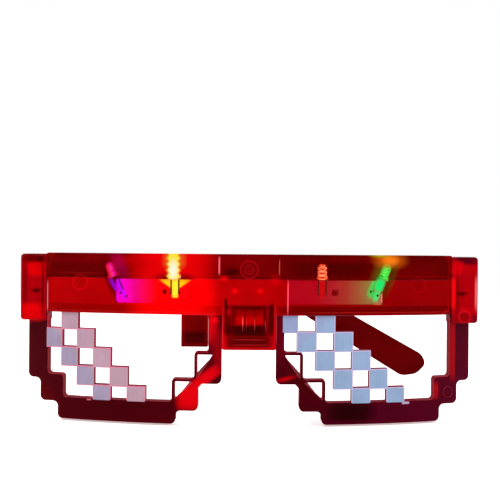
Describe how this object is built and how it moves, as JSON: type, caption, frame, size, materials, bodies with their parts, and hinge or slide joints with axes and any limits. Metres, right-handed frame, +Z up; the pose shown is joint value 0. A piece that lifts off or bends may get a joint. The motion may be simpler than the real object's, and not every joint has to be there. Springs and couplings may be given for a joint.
{
  "type": "light up party glasses",
  "caption": "Novelty glasses with stepped rims, a checker lattice across each open window, four lamps in a hollow see-through bar and folding temples.",
  "frame": {"origin": "front edge of the bridge's underside, where the glasses rest on the nose, on the middle plane", "axes": "+X to the right as seen from the front, +Y back towards the wearer, +Z up"},
  "size_m": [0.1703, 0.1664, 0.0557],
  "materials": {
    "red_plastic": "clear tinted gloss",
    "silver_foil": "satin foil",
    "circuit_board": "bare laminate",
    "black_resin": "matt",
    "black_plastic": "satin",
    "tinned_steel": "bright",
    "nickel_steel": "bright",
    "wire_sleeve": "satin",
    "violet_lamp": "clear",
    "yellow_lamp": "clear",
    "orange_lamp": "clear",
    "green_lamp": "clear"
  },
  "bodies": {
    "frame": {"front_frame": "red_plastic", "back_cover": "red_plastic", "left_silver_squares": "silver_foil", "right_silver_squares": "silver_foil", "left_circuit_board": "circuit_board", "right_circuit_board": "circuit_board", "control_chip": "black_resin", "resistors": "black_resin", "led_leads": "tinned_steel", "positive_contact": "nickel_steel", "negative_contact": "nickel_steel", "cover_screws": "tinned_steel", "switch_body": "black_plastic", "left_hinge_pin": "nickel_steel", "right_hinge_pin": "nickel_steel", "link_wires": "wire_sleeve", "switch_wires": "wire_sleeve", "led_violet": "violet_lamp", "led_yellow": "yellow_lamp", "led_orange": "orange_lamp", "led_green": "green_lamp", "left_button_cell": "nickel_steel", "middle_button_cell": "nickel_steel", "right_button_cell": "nickel_steel"},
    "left_temple": {"left_temple": "red_plastic"},
    "right_temple": {"right_temple": "red_plastic"},
    "push_button": {"push_button": "black_plastic", "switch_plunger": "black_plastic"},
    "battery_door": {"battery_door": "red_plastic", "battery_door_screw": "tinned_steel"}
  },
  "joints": [
    {"name": "left_temple_hinge", "type": "hinge", "parent": "frame", "child": "left_temple", "pos_m": [-0.073, 0.03252, 0.0194], "axis": [0, 0, 1], "range_deg": [0, 98]},
    {"name": "right_temple_hinge", "type": "hinge", "parent": "frame", "child": "right_temple", "pos_m": [0.073, 0.03252, 0.0194], "axis": [0, 0, 1], "range_deg": [0, 94]},
    {"name": "button_press", "type": "slide", "parent": "frame", "child": "push_button", "axis": [0, -1, 0], "range_m": [0, 0.0005], "stiffness_N_per_m": 300},
    {"name": "battery_door_lift", "type": "slide", "parent": "frame", "child": "battery_door", "axis": [0, 1, 0], "range_m": [0, 0.014]}
  ]
}
